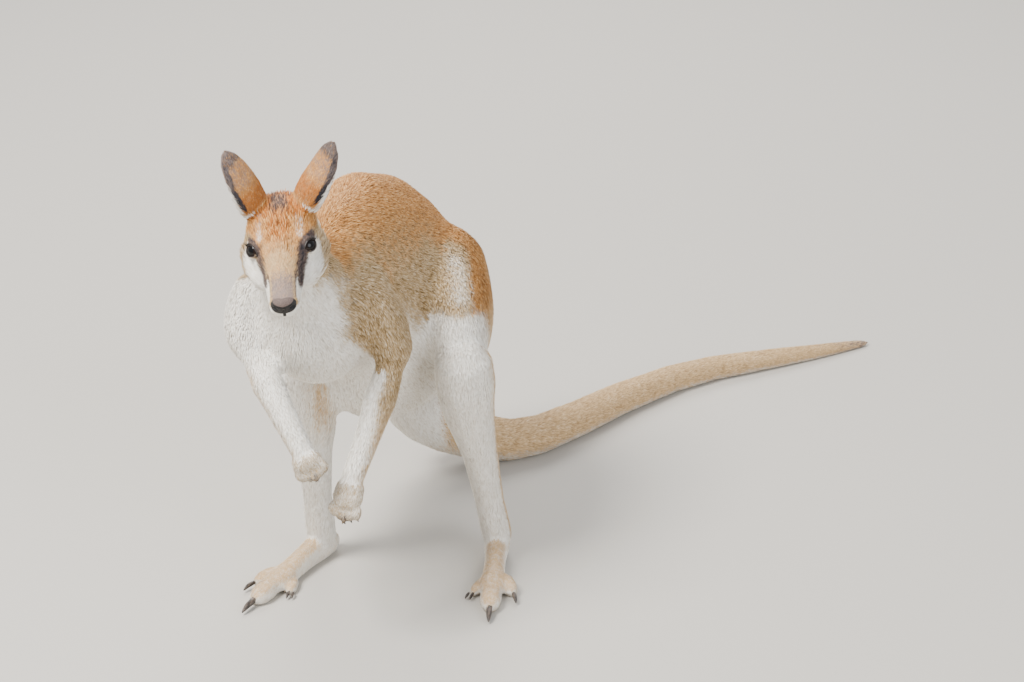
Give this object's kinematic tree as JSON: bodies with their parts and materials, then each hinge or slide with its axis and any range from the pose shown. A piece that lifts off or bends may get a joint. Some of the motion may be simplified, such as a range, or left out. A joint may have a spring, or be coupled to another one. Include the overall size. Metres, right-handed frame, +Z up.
{
  "type": "agile wallaby",
  "caption": "Life-size agile wallaby, a sandy brown small kangaroo half risen on its hind feet, forearms hanging and tail trailed on the floor.",
  "frame": {"origin": "on the floor, under the middle of the box round the whole animal", "axes": "+Z up, -Y the way the chest faces and +Y along the body to the tail, +X to the animal's own left"},
  "size_m": [0.593, 1.1184, 0.5818],
  "materials": {
    "coat_tawny": "short dense fur, tawny brown with fine dark ticking",
    "coat_rufous": "short dense fur, rufous orange with pale ticking",
    "coat_grizzled": "short fur, grey-brown grizzled with cream",
    "coat_cream": "soft white to cream fur",
    "coat_sand": "short sleek fur, sandy beige",
    "nose_pad": "bare black skin, damp and finely pebbled",
    "eye": "dark brown to black, polished and wet",
    "horn": "dark keratin, lightly ridged"
  },
  "bodies": {
    "root": {"nose": "nose_pad", "jaw": "coat_cream", "eye_left": "eye", "eye_right": "eye", "head": "coat_rufous", "ear_left": "coat_rufous", "ear_right": "coat_rufous", "thigh_left": "coat_tawny", "shin_left": "coat_cream", "foot_left": "coat_sand", "toe_middle_left": "coat_sand", "toe_outer_left": "coat_sand", "toe_inner_left": "coat_sand", "claw_middle_left": "horn", "claw_outer_left": "horn", "claw_inner_a_left": "horn", "claw_inner_b_left": "horn", "upper_arm_left": "coat_tawny", "forearm_left": "coat_cream", "hand_left": "coat_grizzled", "claw_1_hand_left": "horn", "claw_2_hand_left": "horn", "claw_3_hand_left": "horn", "claw_4_hand_left": "horn", "claw_5_hand_left": "horn", "thigh_right": "coat_tawny", "shin_right": "coat_cream", "foot_right": "coat_sand", "toe_middle_right": "coat_sand", "toe_outer_right": "coat_sand", "toe_inner_right": "coat_sand", "claw_middle_right": "horn", "claw_outer_right": "horn", "claw_inner_a_right": "horn", "claw_inner_b_right": "horn", "upper_arm_right": "coat_tawny", "forearm_right": "coat_cream", "hand_right": "coat_grizzled", "claw_1_hand_right": "horn", "claw_2_hand_right": "horn", "claw_3_hand_right": "horn", "claw_4_hand_right": "horn", "claw_5_hand_right": "horn", "neck": "coat_grizzled", "chest": "coat_tawny", "belly": "coat_tawny", "rump": "coat_tawny", "tail_root": "coat_sand", "tail_upper": "coat_sand", "tail_middle": "coat_sand", "tail_lower": "coat_sand", "tail_tip": "coat_sand"}
  },
  "joints": []
}
